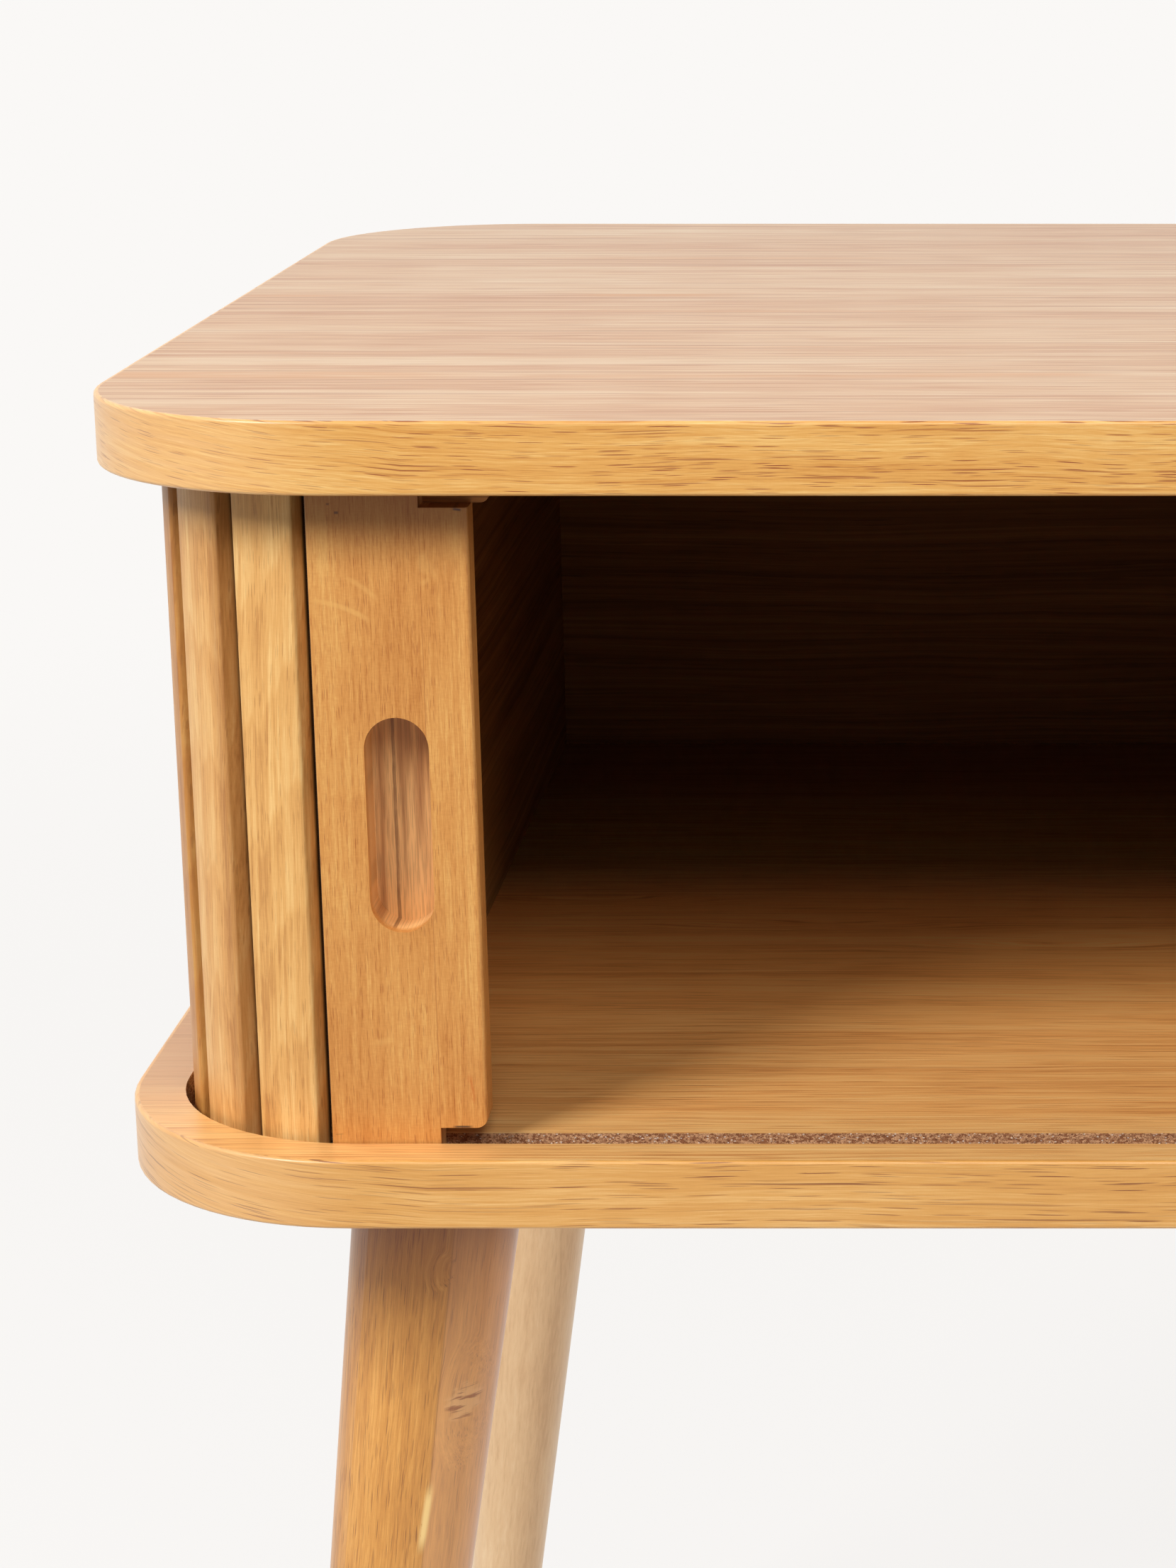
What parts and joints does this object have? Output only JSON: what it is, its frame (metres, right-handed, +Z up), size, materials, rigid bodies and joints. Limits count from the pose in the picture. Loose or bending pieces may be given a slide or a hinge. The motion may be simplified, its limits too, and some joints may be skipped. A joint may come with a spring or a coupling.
{
  "type": "bedside table",
  "caption": "Veneered oak bedside table: rounded boards, a grooved slatted tambour door that slides along the front, an open compartment and splayed tapered legs.",
  "frame": {"origin": "on the floor, under the middle of the table's overall box", "axes": "+Z up, +X to the right of someone facing the door, +Y from the front to the back"},
  "size_m": [0.45, 0.47, 0.59],
  "materials": {
    "oak_face": "satin",
    "oak_edge": "satin",
    "chipboard": "raw",
    "oak_slat": "satin",
    "oak_lead": "satin",
    "oak_wall": "satin",
    "oak_leg": "satin",
    "brown_wood": "matt",
    "beech": "raw",
    "canvas": "woven",
    "steel": "zinc plated",
    "brass": "plain",
    "glide": "matt"
  },
  "bodies": {
    "carcass": {"top_core": "chipboard", "bottom_core": "chipboard", "top_face_veneer": "oak_face", "top_underside_veneer": "oak_face", "bottom_face_veneer": "oak_face", "bottom_underside_veneer": "oak_face", "top_edge_band": "oak_edge", "bottom_edge_band": "oak_edge", "left_inner_wall": "oak_wall", "right_inner_wall": "oak_wall", "back_panel": "oak_wall", "closing_stile": "oak_lead", "rear_stile": "oak_lead", "slat_01": "oak_slat", "slat_02": "oak_slat", "slat_03": "oak_slat", "slat_04": "oak_slat", "slat_05": "oak_slat", "slat_06": "oak_slat", "slat_07": "oak_slat", "slat_08": "oak_slat", "slat_09": "oak_slat", "slat_10": "oak_slat", "slat_11": "oak_slat", "slat_12": "oak_slat", "slat_13": "oak_slat", "slat_14": "oak_slat", "slat_15": "oak_slat", "slat_16": "oak_slat", "slat_17": "oak_slat", "slat_18": "oak_slat", "slat_19": "oak_slat", "slat_20": "oak_slat", "slat_21": "oak_slat", "slat_22": "oak_slat", "slat_23": "oak_slat", "rear_run_slats": "oak_slat", "right_corner_slats": "oak_slat", "right_side_slats": "oak_slat", "rear_right_slats": "oak_slat", "curtain_canvas": "canvas", "fixed_canvas": "canvas", "leg_front_left": "oak_leg", "leg_front_right": "oak_leg", "leg_rear_left": "oak_leg", "leg_rear_right": "oak_leg", "foot_glides": "glide", "leg_bolts": "steel", "leg_inserts": "brass", "wall_dowels": "beech", "wall_screws": "steel", "back_panel_pins": "steel"},
    "door": {"lead_slat": "oak_lead", "lead_bumper": "brown_wood"}
  },
  "joints": [
    {"name": "door_slide", "type": "slide", "parent": "carcass", "child": "door", "axis": [1, 0, 0], "range_m": [0, 0.26]}
  ]
}
